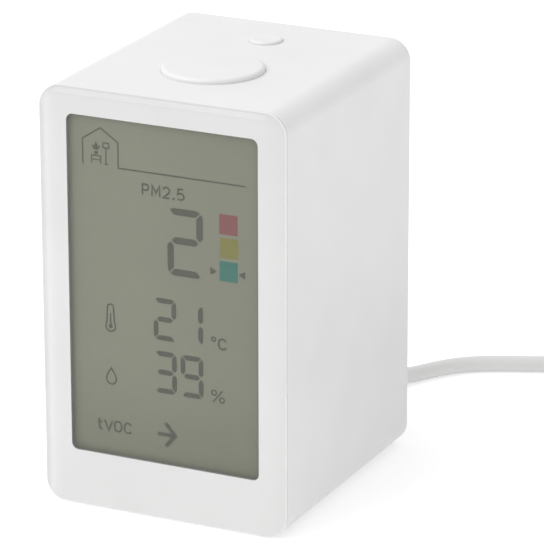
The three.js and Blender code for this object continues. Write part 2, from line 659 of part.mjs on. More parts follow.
function usbCPlug() {
  const { face, length, width, height, relief } = USB_C;
  const shell = cut(
    alongY(stadium(8.25, 2.4, USB.x, USB.z), face - 6.5, face - 0.05),
    alongY(stadium(7.6, 1.7, USB.x, USB.z), face - 7.5, face - 1),
  );
  add("usb_c_tip", shell, "steel");
  const [wide, narrow] = [2.9, 2.2];
  const [from, to] = [face + length - 0.5, face + length + relief - GAP];
  const taper = turnedY([[0, from], [wide, from], [narrow, to], [0, to]], 16, USB.x, USB.z);
  const body = alongY(roundedRect(width, height, 2.6, USB.x, USB.z), face, face + length);
  add("usb_c_overmould", join(body, taper), "lead");
}

function usbAPlug() {
  const { x, z, back, length, width, height, relief, tip } = USB_A;
  const bodyBack = back - relief;
  const bodyFront = bodyBack - length;
  const [wide, narrow] = [3, 2.2];
  const taper = turnedY([[0, bodyBack - 0.5], [wide, bodyBack - 0.5], [narrow, back], [0, back]], 16, x, z);
  const body = alongY(roundedRect(width, height, 2.2, x, z), bodyFront, bodyBack);
  add("usb_a_overmould", join(body, taper), "lead");
  const shellBack = bodyFront - 0.05;
  const shell = cut(
    alongY(roundedRect(12, 4.5, 0.6, x, z), shellBack - tip, shellBack, 1),
    box(x - 5.65, x + 5.65, shellBack - tip - 1, shellBack - 1, z - 1.9, z + 1.9),
  );
  add("usb_a_shell", shell, "steel");
  const insulator = box(x - 5.4, x + 5.4, shellBack - tip + 0.8, shellBack - 1.2, z - 1.65, z + 0.2);
  add("usb_a_insulator", insulator, "chip");
}

// The outer shape of the wound turns: a ring whose section has cut corners.
function coilRing() {
  const [w, h, c] = [COIL_WIDTH / 2, COIL_HEIGHT, LEAD.diameter / 3];
  const [r, z] = [COIL.radius, COIL.lift];
  const section = [
    [r - w + c, z],
    [r + w - c, z],
    [r + w, z + c],
    [r + w, z + h - c],
    [r + w - c, z + h],
    [r - w + c, z + h],
    [r - w, z + h - c],
    [r - w, z + c],
    [r - w + c, z],
  ];
  return turned(section, 32, COIL.x, COIL.y);
}

// A strap round the coil's section on the side away from both ends of the lead.
function coilTie() {
  const [side, strap, halfLength] = [0.6, 0.3, 3];
  const [inner, outer] = [COIL_WIDTH / 2 + side, COIL_WIDTH / 2 + side + strap];
  const [foot, top] = [COIL.lift - 0.05, COIL.lift + COIL_HEIGHT + 0.4];
  const middle = (foot + top) / 2;
  const outside = roundedRect(2 * outer, top - foot + 2 * strap, 1.4, 0, middle);
  const inside = roundedRect(2 * inner, top - foot, 1.1, 0, middle);
  const band = cut(
    alongY(outside, -halfLength, halfLength, 2),
    alongY(inside, -halfLength - 1, halfLength + 1, 2),
  );
  return band.translate(COIL.radius, 0, 0).rotateZ((-3 * Math.PI) / 4).translate(COIL.x, COIL.y, 0);
}

function leadParts() {
  usbCPlug();
  add("lead_cable", tube(LEAD_ROUTE, 22), "lead");
  add("lead_coil", coilRing(), "lead");
  add("lead_tie", coilTie(), "dark");
  add("lead_tail", tube(TAIL_ROUTE, 6), "lead");
  usbAPlug();
}

// ---------------------------------------------------------------- assembly
function housingParts() {
  add("body_shell", bodyShell(), "white");
  add("front_window", roundedBlock(FRONT, WINDOW_BACK, WINDOW.edge, 0.1, 5), "clear");
  add("window_mask", windowMask(), "mask");
  add("rear_cover", rearCover(), "white");
  COVER_SCREWS.forEach(({ x, z }, i) => {
    const screw = turnedY(screwProfile(7), 8, 0, 0).translate(x, COVER_OUT - 1.4, z);
    add(`cover_screw_${i + 1}`, screw, "steel");
  });
  FEET.forEach(({ x, y }, i) => {
    add(`foot_${i + 1}`, rodZ(FOOT.radius, x, y, 0, BOTTOM + FOOT.recess - 0.1, 16), "rubber");
  });
}

housingParts();
add("display_carrier", displayCarrier(), "dark");
displayParts();
boardParts();
buttonParts();
sensorParts();
gasParts();
usbParts();
harnessParts();
leadParts();

export default root;
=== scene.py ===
"""The looks of a desktop air quality monitor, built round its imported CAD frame."""

import json
import math

import bmesh
import bpy
from mathutils import Matrix, Vector


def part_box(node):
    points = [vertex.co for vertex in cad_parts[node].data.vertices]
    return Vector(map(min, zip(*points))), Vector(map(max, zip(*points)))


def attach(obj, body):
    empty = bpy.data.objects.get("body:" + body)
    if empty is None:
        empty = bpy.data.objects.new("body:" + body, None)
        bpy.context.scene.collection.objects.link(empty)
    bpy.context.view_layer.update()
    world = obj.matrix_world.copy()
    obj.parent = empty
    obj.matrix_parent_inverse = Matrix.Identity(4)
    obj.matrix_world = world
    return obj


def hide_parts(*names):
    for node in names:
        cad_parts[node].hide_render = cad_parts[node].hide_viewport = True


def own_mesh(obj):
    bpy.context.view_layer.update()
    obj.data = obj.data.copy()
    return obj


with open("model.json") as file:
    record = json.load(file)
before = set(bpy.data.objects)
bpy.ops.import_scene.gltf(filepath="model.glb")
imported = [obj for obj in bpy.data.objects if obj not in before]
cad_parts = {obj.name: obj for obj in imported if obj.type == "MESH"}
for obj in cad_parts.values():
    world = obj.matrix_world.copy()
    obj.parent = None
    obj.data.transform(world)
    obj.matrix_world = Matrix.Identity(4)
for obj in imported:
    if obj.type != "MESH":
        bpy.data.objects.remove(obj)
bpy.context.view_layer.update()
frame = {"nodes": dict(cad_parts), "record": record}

MM = 0.001


def span(node):
    """A CAD node's low and high corners at rest, in millimetres."""
    low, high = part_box(node)
    return Vector(low) / MM, Vector(high) / MM


def placed(name, data):
    """A new object in the scene."""
    made = bpy.data.objects.new(name, data)
    bpy.context.scene.collection.objects.link(made)
    return made


# -------------------- sizes, in millimetres
SHELL_LOW, SHELL_HIGH = span("body_shell")
PLATE_LOW, PLATE_HIGH = span("front_window")
MASK_HIGH = span("window_mask")[1]
COVER_LOW, COVER_HIGH = span("rear_cover")
FILM_LOW, FILM_HIGH = span("lcd_polariser")
WIDTH = SHELL_HIGH.x - SHELL_LOW.x
HEIGHT = SHELL_HIGH.z - SHELL_LOW.z
MIDDLE_Z = (SHELL_LOW.z + SHELL_HIGH.z) / 2
TOP = SHELL_HIGH.z
CORNER = 4.6
WALL = 2.0
LEDGE_BACK = SHELL_LOW.y + 1.5
# The display's opening in the print, and the ledge's opening behind the plate.
DISPLAY = {"width": 42.95, "height": 72.45, "corner": 1.5, "z": 48.62}
LEDGE = {"width": 48.8, "height": 79.2, "corner": 2.6, "z": 48.22}
# Where each button is on the top, with its hole's radius, and the gap round its cap.
MODE = {"x": 0.25, "y": -6.9, "hole": 10.75}
STANDBY = {"x": 0.55, "y": 17.2, "hole": 3.6}
CAP_GAP = 0.03
USB = {"x": 8.0, "z": 6.2}
CORD = 3.5
COIL = {"x": 75.0, "y": 65.2, "radius": 19.5, "lift": 0.4, "columns": 3, "rows": 4, "turns": 11.25}
# How high the cord's middle is where it lies on the table.
LIE = CORD / 2


# -------------------- camera
def make_camera():
    """A long lens that looks down a little on the front and the right side."""
    azimuth, elevation, roll = math.radians(25.776), math.radians(19.053), math.radians(-0.129)
    distance, aside, above = 0.857719, 0.009134, -0.000649
    target = Vector((0.0, 0.0, (SHELL_LOW.z + 45.0) * MM))
    back = Vector((
        math.sin(azimuth) * math.cos(elevation),
        -math.cos(azimuth) * math.cos(elevation),
        math.sin(elevation),
    ))
    right = Vector((math.cos(azimuth), math.sin(azimuth), 0.0))
    up = back.cross(right)
    rolled_right = right * math.cos(roll) + up * math.sin(roll)
    rolled_up = back.cross(rolled_right)
    data = bpy.data.cameras.new("camera")
    data.lens = 272.5
    data.sensor_width = 36.0
    data.clip_end = 20.0
    camera = placed("camera", data)
    turn = Matrix((rolled_right, rolled_up, back)).transposed().to_4x4()
    place = target + back * distance + right * aside + up * above
    camera.matrix_world = Matrix.Translation(place) @ turn
    bpy.context.scene.camera = camera


make_camera()


# -------------------- the power lead's cord
LEAD_START = 49.3
LEAD_ROUTE = [
    (USB["x"], LEAD_START, USB["z"]),
    (8.05, 52.1, 6.0),
    (8.4, 54.9, 5.3),
    (9.0, 57.8, 4.2),
    (9.9, 60.5, 3.1),
    (11.1, 63.0, 2.3),
    (12.7, 65.8, 1.85),
    (14.6, 69.0, LIE),
    (16.9, 72.6, LIE),
    (19.6, 75.9, LIE),
    (23.3, 78.9, LIE),
    (27.6, 81.2, LIE),
    (32.6, 83.4, LIE),
    (37.4, 85.5, LIE),
    (43.4, 87.5, LIE),
    (49.8, 88.6, LIE),
    (56.0, 89.0, LIE + 0.1),
    (62.0, 88.9, LIE + 0.2),
    (68.6, 88.6, LIE + 0.35),
]
TAIL_ROUTE = [
    (98.02, 60.8, 12.6),
    (98.05, 56.6, 12.2),
    (98.1, 53.0, 11.2),
    (98.3, 49.4, 9.6),
    (98.5, 45.6, 7.6),
    (98.6, 41.8, 5.8),
    (98.6, 38.0, 4.6),
    (98.6, 34.3, 4.1),
]


def smoothstep(x):
    """0 below 0, 1 above 1, and an even S between."""
    x = min(max(x, 0.0), 1.0)
    return x * x * (3 - 2 * x)


def coil_points():
    """The turns, wound clockwise and column by column, each a cord's width from the next."""
    steps = 20            # points in a turn
    shift = 0.44          # the share of a turn in which the cord moves over
    bulge = 0.37 * CORD   # how far it swings out as it climbs to the next row
    columns, rows = COIL["columns"], COIL["rows"]
    order = []
    for row in range(rows):
        across = range(columns) if row % 2 == 0 else range(columns - 1, -1, -1)
        order += [(column, row) for column in across]
    places = [
        (COIL["radius"] + CORD * ((columns - 1) / 2 - column), COIL["lift"] + LIE + CORD * row)
        for column, row in order
    ]
    points = []
    for i in range(round(COIL["turns"] * steps) + 1):
        turn, part = divmod(i / steps, 1.0)
        (r0, z0), (r1, z1) = places[int(turn)], places[min(int(turn) + 1, len(places) - 1)]
        move = smoothstep((part - 1 + shift) / shift)
        out = 0.0
        if z1 != z0:
            out = math.copysign(bulge * 4 * move * (1 - move), r0 - COIL["radius"])
        r, z = r0 + (r1 - r0) * move + out, z0 + (z1 - z0) * move
        angle = math.pi / 2 - 2 * math.pi * i / steps
        points.append((COIL["x"] + r * math.cos(angle), COIL["y"] + r * math.sin(angle), z))
    return points


def make_cord():
    """The whole lead from one plug's strain relief to the other's, on one smooth spline."""
    route = LEAD_ROUTE + coil_points() + TAIL_ROUTE
    data = bpy.data.curves.new("lead_cord", "CURVE")
    data.dimensions = "3D"
    data.bevel_depth = 1.0
    data.bevel_resolution = 5
    data.resolution_u = 4
    data.use_fill_caps = True
    spline = data.splines.new("BEZIER")
    spline.bezier_points.add(len(route) - 1)
    for point, place in zip(spline.bezier_points, route):
        point.co = Vector(place) * MM
        point.handle_left_type = point.handle_right_type = "AUTO"
        point.radius = CORD / 2 * MM
    cord = placed("lead_cord", data)
    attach(cord, "lead")
    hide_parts("lead_cable", "lead_coil", "lead_tail")
    return cord


cord = make_cord()


# -------------------- shapes
def rounded(width, height, radius, cx=0.0, cy=0.0, steps=12):
    """An anticlockwise rounded rectangle."""
    points = []
    for k, (sx, sy) in enumerate(((1, 1), (-1, 1), (-1, -1), (1, -1))):
        for i in range(steps + 1):
            a = math.radians(90 * (k + i / steps))
            points.append((
                cx + sx * (width / 2 - radius) + radius * math.cos(a),
                cy + sy * (height / 2 - radius) + radius * math.sin(a),
            ))
    return points


def slot_shape(width, height, cx, cy, steps=6):
    """An anticlockwise slot with round ends, kept a hair apart so that no edge has length zero."""
    hair = 0.005
    return rounded(width, height, height / 2 - hair, cx, cy, steps)


def round_shape(radius, cx, cy, steps=32):
    """An anticlockwise circle."""
    turn = [2 * math.pi * i / steps for i in range(steps)]
    return [(cx + radius * math.cos(a), cy + radius * math.sin(a)) for a in turn]


def hole(outline):
    """An outline turned round, so that slab() cuts it out."""
    return outline[::-1]


def inset(outline, distance):
    """The outline moved sideways into its material, which is on its left."""
    shifted = []
    for i, (x, y) in enumerate(outline):
        ax, ay = outline[i - 1]
        bx, by = outline[(i + 1) % len(outline)]
        before, after = Vector((x - ax, y - ay)).normalized(), Vector((bx - x, by - y)).normalized()
        normal = Vector((-before.y - after.y, before.x + after.x)).normalized()
        reach = distance / max(normal.dot(Vector((-after.y, after.x))), 0.3)
        shifted.append((x + normal.x * reach, y + normal.y * reach))
    return shifted


def ring_of(bm, points):
    """New vertices at the points."""
    return [bm.verts.new(p) for p in points]


def join_rings(bm, rings, around=False):
    """Faces between neighbouring rings of equal length, and back to the first one if asked."""
    pairs = list(zip(rings, rings[1:])) + ([(rings[-1], rings[0])] if around else [])
    for low, high in pairs:
        for i in range(len(low)):
            j = (i + 1) % len(low)
            bm.faces.new((low[i], low[j], high[j], high[i]))


def fillet(radius, steps):
    """(inset, height) pairs up a quarter round."""
    quarter = [math.pi / 2 * k / steps for k in range(steps + 1)]
    return [(radius * (1 - math.sin(a)), radius * (1 - math.cos(a))) for a in quarter]


def rim_levels(depth, edge, back_edge, steps):
    """(inset, height) pairs up the side of a slab with rounded ends."""
    low = fillet(edge, steps) if edge else [(0.0, 0.0)]
    high = fillet(back_edge, steps) if back_edge else [(0.0, 0.0)]
    return low + [(d, depth - z) for d, z in reversed(high)]


def slab(loops, depth, edge=0.0, steps=3, back_edge=None):
    """A flat solid in X and Y from z = 0 to depth. Outlines run anticlockwise and holes clockwise."""
    levels = rim_levels(depth, edge, edge if back_edge is None else back_edge, steps)
    return lofted_slab([(outline, levels) for outline in loops])


def lofted_slab(loops):
    """A flat solid from outlines that each have their own (inset, height) levels."""
    bm = bmesh.new()
    ends = ([], [])
    for outline, levels in loops:
        rings = [ring_of(bm, [(x, y, z) for x, y in inset(outline, d)]) for d, z in levels]
        join_rings(bm, rings)
        for end, ring in zip(ends, (rings[0], rings[-1])):
            end.extend(bm.edges.get((ring[i - 1], ring[i])) for i in range(len(ring)))
    for end in ends:
        bmesh.ops.triangle_fill(bm, edges=end, use_beauty=True)
    return facing_out(bm)


def facing_out(bm):
    """The solid with its faces turned outwards."""
    bmesh.ops.recalc_face_normals(bm, faces=bm.faces)
    return bm


def moved(bm, matrix):
    """The solid in another place."""
    bm.transform(matrix)
    return facing_out(bm)


def stand_at(x, y, z):
    """The turn and shift that stand X and Y up in X and Z, with the depth running back from y."""
    return Matrix(((1, 0, 0, x), (0, 0, 1, y), (0, 1, 0, z), (0, 0, 0, 1)))


def standing(bm, y):
    """The solid stood up, its depth running back from y."""
    return moved(bm, stand_at(0, y, 0))


def lathe(profile, segments=64):
    """A solid turned about Z from (radius, height) pairs that start and end on the axis."""
    bm = bmesh.new()
    rings = []
    for radius, height in profile[1:-1]:
        turn = [2 * math.pi * i / segments for i in range(segments)]
        rings.append(ring_of(bm, [(radius * math.cos(a), radius * math.sin(a), height) for a in turn]))
    join_rings(bm, rings)
    for (_, height), ring in ((profile[0], rings[0]), (profile[-1], rings[-1])):
        tip = bm.verts.new((0, 0, height))
        for i in range(segments):
            bm.faces.new((tip, ring[i - 1], ring[i]))
    return facing_out(bm)


def block(x0, x1, y0, y1, z0, z1, edge=0.0, segments=2):
    """A box with rounded edges."""
    bm = bmesh.new()
    bmesh.ops.create_cube(bm, size=1.0)
    place = Matrix.Translation(((x0 + x1) / 2, (y0 + y1) / 2, (z0 + z1) / 2))
    bm.transform(place @ Matrix.Diagonal((x1 - x0, y1 - y0, z1 - z0, 1)))
    if edge:
        bmesh.ops.bevel(bm, geom=bm.edges[:], offset=edge, segments=segments, profile=0.5, affect="EDGES")
    return facing_out(bm)


def with_parts(bm, *others):
    """Several solids that don't touch, as one mesh."""
    mesh = bpy.data.meshes.new("part")
    for other in others:
        other.to_mesh(mesh)
        bm.from_mesh(mesh)
    bpy.data.meshes.remove(mesh)
    return bm


def carved(bm, tool, operation="DIFFERENCE"):
    """What a Boolean leaves of two closed meshes."""
    objects = []
    for solid in (bm, tool):
        mesh = bpy.data.meshes.new("carved")
        solid.to_mesh(mesh)
        objects.append(placed("carved", mesh))
    base, other = objects
    modifier = base.modifiers.new("carve", "BOOLEAN")
    modifier.operation = operation
    modifier.solver = "EXACT"
    modifier.use_self = True
    modifier.object = other
    result = base.evaluated_get(bpy.context.evaluated_depsgraph_get()).to_mesh()
    made = bmesh.new()
    made.from_mesh(result)
    for o in objects:
        data = o.data
        bpy.data.objects.remove(o)
        bpy.data.meshes.remove(data)
    bmesh.ops.remove_doubles(made, verts=made.verts, dist=1e-4)
    bmesh.ops.dissolve_degenerate(made, edges=made.edges, dist=1e-4)
    return made


def piece(name, bm, material, body="housing", stands_for=(), angle=35, weighted=True):
    """A mesh in millimetres as a piece in the row frame, smooth but for edges over the angle."""
    bm.transform(Matrix.Scale(MM, 4))
    mesh = bpy.data.meshes.new(name)
    bm.to_mesh(mesh)
    bm.free()
    mesh.shade_smooth()
    mesh.set_sharp_from_angle(angle=math.radians(angle))
    mesh.materials.append(material)
    made = placed(name, mesh)
    if weighted:
        even = made.modifiers.new("even shading", "WEIGHTED_NORMAL")
        even.keep_sharp = True
        even.weight = 90
    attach(made, body)
    if stands_for:
        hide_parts(*stands_for)
    return made


# -------------------- materials
NOISE_LOW, NOISE_HIGH = 0.3, 0.7


def new_material(name, slot, **sockets):
    """A material with its own nodes and the Principled sockets set as given."""
    material = bpy.data.materials.new(name)
    material.use_nodes = True
    material["slot"] = slot
    shader = material.node_tree.nodes["Principled BSDF"]
    for socket, value in sockets.items():
        shader.inputs[socket.replace("_", " ")].default_value = value
    return material, material.node_tree, shader


def add_node(tree, kind, links=None, **values):
    """A node with inputs set by name or number, or linked where the value is an output socket."""
    node = tree.nodes.new(kind)
    for key, value in values.items():
        setattr(node, key, value)
    for key, value in (links or {}).items():
        if isinstance(value, bpy.types.NodeSocket):
            tree.links.new(value, node.inputs[key])
        else:
            node.inputs[key].default_value = value
    return node


def object_place(tree):
    """Coordinates that stay with the object."""
    return add_node(tree, "ShaderNodeTexCoord").outputs["Object"]


def noise(tree, place, size, detail=2.0, roughness=0.5, stretch=(1, 1, 1)):
    """Noise in object space whose lumps are about that many millimetres across."""
    scale = tuple(s / (size * MM) for s in stretch)
    mapping = add_node(tree, "ShaderNodeMapping", {"Vector": place, "Scale": scale})
    return add_node(tree, "ShaderNodeTexNoise", {
        "Vector": mapping.outputs[0], "Scale": 1.0, "Detail": detail, "Roughness": roughness,
    }).outputs["Fac"]


def ramp(tree, factor, stops):
    """A colour ramp through (position, colour) stops."""
    node = add_node(tree, "ShaderNodeValToRGB", {"Fac": factor})
    elements = node.color_ramp.elements
    while len(elements) < len(stops):
        elements.new(0.5)
    for element, (position, colour) in zip(elements, stops):
        element.position = position
        element.color = (*colour, 1.0)
    return node.outputs["Color"]


def between(tree, pattern, low, high):
    """A colour that runs from one to the other over the middle of a noise."""
    return ramp(tree, pattern, [(NOISE_LOW, low), (NOISE_HIGH, high)])


def toned(tree, shader, pattern, low, high):
    """A base colour that runs from one to the other over the middle of a noise."""
    tree.links.new(between(tree, pattern, low, high), shader.inputs["Base Color"])


def glossed(tree, shader, pattern, low, high):
    """A roughness that runs from low to high over the middle of a noise."""
    node = add_node(tree, "ShaderNodeMapRange", {
        "Value": pattern, "From Min": NOISE_LOW, "From Max": NOISE_HIGH, "To Min": low, "To Max": high,
    })
    tree.links.new(node.outputs["Result"], shader.inputs["Roughness"])


def relief(tree, shader, height, strength, depth):
    """Bumps from a pattern, as deep as that many millimetres."""
    bump = add_node(tree, "ShaderNodeBump", {
        "Height": height, "Strength": strength, "Distance": depth * MM})
    tree.links.new(bump.outputs[0], shader.inputs["Normal"])


def shade(colour, by):
    """The colour made lighter or darker by a factor."""
    return tuple(min(c * by, 1.0) for c in colour)


def moulded(name, slot, colour, roughness, grain=0.12, depth=0.004, tint=0.015):
    """Moulded plastic: a fine even grain, and a slight drift of tone and gloss over the surface."""
    material, tree, shader = new_material(name, slot)
    place = object_place(tree)
    drift = noise(tree, place, 14.0)
    toned(tree, shader, drift, shade(colour, 1 - tint), shade(colour, 1 + tint))
    fine = noise(tree, place, grain, 3.0, 0.6)
    glossed(tree, shader, fine, roughness - 0.04, roughness + 0.04)
    relief(tree, shader, fine, 1.0, depth)
    return material


def metal(name, slot, colour, roughness):
    """Plated or brushed metal, with fine lines drawn out of a noise by stretching it."""
    material, tree, shader = new_material(name, slot, Metallic=1.0)
    place = object_place(tree)
    lines = noise(tree, place, 0.5, 4.0, 0.6, stretch=(1, 14, 1))
    toned(tree, shader, lines, shade(colour, 0.9), shade(colour, 1.08))
    glossed(tree, shader, lines, roughness - 0.06, roughness + 0.1)
    relief(tree, shader, lines, 0.6, 0.002)
    return material


def clear_acrylic():
    """A clear sheet with polished faces."""
    material, tree, shader = new_material(
        "clear_acrylic", "clear_window", IOR=1.3, Transmission_Weight=1.0, Roughness=0.0)
    place = object_place(tree)
    haze = noise(tree, place, 30.0)
    toned(tree, shader, haze, (0.985, 0.99, 0.985), (0.995, 1.0, 0.995))
    return material


def graded(tree, place, colour, gradients):
    """The colour multiplied by factors that change along an axis, given as (millimetres, factor) stops."""
    axes = add_node(tree, "ShaderNodeSeparateXYZ", {"Vector": place})
    for axis, stops in gradients:
        start, reach = stops[0][0], stops[-1][0] - stops[0][0]
        along = add_node(tree, "ShaderNodeMapRange", {
            "Value": axes.outputs[axis], "From Min": start * MM, "From Max": (start + reach) * MM})
        factors = ramp(tree, along.outputs["Result"], [
            ((at - start) / reach, (factor,) * 3) for at, factor in stops
        ])
        shaded = add_node(tree, "ShaderNodeMix", {"Factor": 1.0}, data_type="RGBA", blend_type="MULTIPLY")
        tree.links.new(colour, shaded.inputs[6])
        tree.links.new(factors, shaded.inputs[7])
        colour = shaded.outputs[2]
    return colour


def lcd_film():
    """A matt grey-green polariser over a reflector, with painted shade that darkens it to the right and
    towards its foot.
    """
    material, tree, shader = new_material("lcd_film", "lcd_film", Roughness=0.5, Specular_IOR_Level=0.1)
    place = object_place(tree)
    drift = noise(tree, place, 22.0, 3.0)
    colour = between(tree, drift, (0.170, 0.176, 0.133), (0.174, 0.180, 0.136))
    # Painted shade: the film's colour is darkened to the right and towards its foot.
    colour = graded(tree, place, colour, [
        ("X", [(-6.0, 1.0), (12.0, 0.945)]),
        ("Z", [(15.7, 0.88), (18.7, 0.895), (23.2, 0.93), (26.6, 0.96), (32.0, 1.0)]),
    ])
    tree.links.new(colour, shader.inputs["Base Color"])
    return material


def mask_print_painted_light():
    """White ink behind the plate, with a painted highlight just inside its left edge and painted shade above
    and to the right.
    """
    material = moulded("mask_print_painted_light", "white_mask", (0.662, 0.662, 0.66), 0.5, grain=0.6, depth=0.0005)
    tree = material.node_tree
    base = tree.nodes["Principled BSDF"].inputs["Base Color"]
    place = object_place(tree)
    left, right = -WIDTH / 2, WIDTH / 2
    # Painted light: a highlight band just inside the left edge, and painted shade above and to the right.
    tree.links.new(graded(tree, place, base.links[0].from_socket, [
        ("X", [(left, 0.9), (left + 0.7, 0.91), (left + 1.1, 0.98), (left + 1.6, 1.0), (left + 2.0, 0.97),
               (left + 2.7, 0.94), (left + 3.8, 0.92), (right - 7.0, 0.92), (right - 3.5, 0.905),
               (right, 0.885)]),
        ("Z", [(MIDDLE_Z, 1.0), (80.0, 0.965), (88.0, 0.965), (89.0, 0.945), (TOP, 0.955)]),
    ]), base)
    return material


def lcd_ink(name, colour):
    """A dark segment or printed colour, with a slight mottle."""
    material, tree, shader = new_material(name, "lcd_film", Roughness=0.5, Specular_IOR_Level=0.1)
    place = object_place(tree)
    mottle = noise(tree, place, 1.2, 3.0)
    toned(tree, shader, mottle, shade(colour, 0.97), shade(colour, 1.03))
    return material


def circuit_board():
    """Green solder mask over copper tracks."""
    material, tree, shader = new_material("circuit_board", "circuit_board", Roughness=0.35)
    place = object_place(tree)
    per_metre = 600
    mapping = add_node(tree, "ShaderNodeMapping", {"Vector": place, "Scale": (per_metre,) * 3})
    tracks = add_node(tree, "ShaderNodeTexVoronoi", {"Vector": mapping.outputs[0], "Scale": 1.0},
                      distance="CHEBYCHEV").outputs["Distance"]
    tone = ramp(tree, tracks, [(0.38, (0.012, 0.085, 0.04)), (0.45, (0.022, 0.16, 0.075))])
    tree.links.new(tone, shader.inputs["Base Color"])
    relief(tree, shader, tracks, 0.4, 0.02)
    return material


def woven(name, slot, colour):
    """A narrow woven strap: two crossed sets of ribs."""
    pitch = 0.55
    material, tree, shader = new_material(name, slot, Roughness=0.85, Sheen_Weight=0.3)
    place = object_place(tree)
    waves = []
    for turn in (0.0, math.pi / 2):
        mapping = add_node(tree, "ShaderNodeMapping", {
            "Vector": place, "Rotation": (0.0, turn, math.pi / 4), "Scale": (1 / (pitch * MM),) * 3})
        waves.append(add_node(tree, "ShaderNodeTexWave", {
            "Vector": mapping.outputs[0], "Scale": 0.3, "Distortion": 0.4, "Detail": 1.0}).outputs["Fac"])
    weave = add_node(tree, "ShaderNodeMath", {0: waves[0], 1: waves[1]}, operation="MULTIPLY").outputs[0]
    tone = ramp(tree, weave, [(0.1, shade(colour, 0.75)), (0.8, shade(colour, 1.1))])
    tree.links.new(tone, shader.inputs["Base Color"])
    relief(tree, shader, weave, 0.8, 0.08)
    return material


WHITE = moulded("white_moulding", "white_housing", (0.68, 0.68, 0.678), 0.46)
BUTTON_WHITE = moulded("button_white", "white_housing", (0.68, 0.68, 0.678), 0.42)
# A brighter white for a thin ring just inside the plate's edge: a painted highlight.
EDGE_HIGHLIGHT_WHITE = moulded("edge_painted_highlight", "white_mask", (0.75, 0.75, 0.748), 0.5, grain=0.6, depth=0.0005)
# Near black for the bond behind the plate's edge: a real bond, coloured dark so that it also stands for the
# shade in the seam.
ADHESIVE_PAINTED_SHADE = moulded("plate_bond_painted_shade", "white_mask", (0.07, 0.07, 0.07), 0.7, grain=0.3)
MASK_WHITE_PAINTED_LIGHT = mask_print_painted_light()
LEAD_WHITE = moulded("lead_jacket", "white_lead", (0.66, 0.66, 0.655), 0.5, grain=0.25, depth=0.01)
CLEAR = clear_acrylic()
FILM = lcd_film()
DARK = moulded("dark_moulding", "dark_plastic", (0.045, 0.045, 0.043), 0.6, tint=0.08)
CARRIER = moulded("carrier_moulding", "dark_plastic", (0.2, 0.2, 0.21), 0.6, tint=0.04)
RUBBER = moulded("foot_rubber", "rubber_feet", (0.28, 0.28, 0.28), 0.85, grain=0.3, depth=0.02, tint=0.05)
CONTACT = moulded("contact_rubber", "contact_rubber", (0.09, 0.09, 0.1), 0.8, tint=0.1)
FOAM = moulded("gasket_foam", "foam", (0.035, 0.035, 0.036), 0.95, grain=0.6, depth=0.15, tint=0.2)
CHIP = moulded("chip_moulding", "chip_package", (0.018, 0.018, 0.019), 0.5, tint=0.1)
HARNESS = moulded("harness_ribbon", "harness", (0.6, 0.6, 0.57), 0.5, tint=0.04)
GLASS = moulded("display_glass", "lcd_glass", (0.5, 0.53, 0.5), 0.12, depth=0.0005, tint=0.02)
BOARD = circuit_board()
STEEL = metal("plated_steel", "steel", (0.62, 0.62, 0.61), 0.28)
REFLECTOR = metal("reflector_foil", "reflector", (0.6, 0.62, 0.55), 0.45)
BRASS = metal("brass_can", "brass_can", (0.62, 0.46, 0.2), 0.3)
GOLD = metal("gold_contact", "steel", (0.9, 0.66, 0.25), 0.25)
STRAP = woven("tie_strap", "tie_strap", (0.5, 0.5, 0.5))

BY_SLOT = {material["slot"]: material for material in (
    WHITE, MASK_WHITE_PAINTED_LIGHT, LEAD_WHITE, CLEAR, FILM, DARK, RUBBER, CONTACT, FOAM, CHIP, HARNESS, GLASS, BOARD,
    STEEL, REFLECTOR, BRASS, STRAP,
)}
for part in frame["record"]["subparts"]:
    node = frame["nodes"][part["node"]]
    node.data.materials.clear()
    node.data.materials.append(BY_SLOT[part["material_slot"]])
frame["nodes"]["display_carrier"].data.materials[0] = CARRIER
cord.data.materials.append(LEAD_WHITE)


# -------------------- housing
def housing_shell():
    """The moulded tube: rounded outside, a ledge in front, open behind, with two holes on top."""
    front, back = SHELL_LOW.y, SHELL_HIGH.y
    front_edge, back_edge, inner_edge = 0.2, 0.8, 0.25
    flare = 0.03
    foot_radius, foot_depth = 3.75, 0.8
    levels = [(d, front + z) for d, z in fillet(front_edge, 3)]
    levels += [(d, back - z) for d, z in reversed(fillet(back_edge, 6))]
    levels += [(WALL - d, back - z) for d, z in fillet(inner_edge, 3)] + [(WALL, LEDGE_BACK)]
    bm = bmesh.new()
    steps = 16

    def outline(width, height, radius, z, y):
        return ring_of(bm, [(px, y, pz) for px, pz in rounded(width, height, radius, 0, z, steps)])

    rings = [outline(WIDTH - 2 * d, HEIGHT - 2 * d, CORNER - d, MIDDLE_Z, y) for d, y in levels]
    rings += [outline(LEDGE["width"], LEDGE["height"], LEDGE["corner"], LEDGE["z"], y)
              for y in (LEDGE_BACK, front)]
    join_rings(bm, rings, around=True)
    shell = facing_out(bm)
    for place in (MODE, STANDBY):
        r = place["hole"]
        edge = [(r + z, TOP - d) for d, z in fillet(flare, 4)]
        profile = [(0, TOP - 6), (r, TOP - 6), *edge, (r + flare, TOP + 2), (0, TOP + 2)]
        tool = moved(lathe(profile, 96), Matrix.Translation((place["x"], place["y"], 0)))
        shell = carved(shell, tool)
    recess_top = SHELL_LOW.z + foot_depth
    for x, y in foot_places():
        tool = lathe([(0, -2), (foot_radius, -2), (foot_radius, recess_top), (0, recess_top)], 48)
        shell = carved(shell, moved(tool, Matrix.Translation((x, y, 0))))
    piece("housing_shell", shell, WHITE, stands_for=["body_shell"])


def foot_places():
    """The middle of each foot."""
    places = []
    for k in range(1, 5):
        low, high = span(f"foot_{k}")
        places.append(((low.x + high.x) / 2, (low.y + high.y) / 2))
    return places


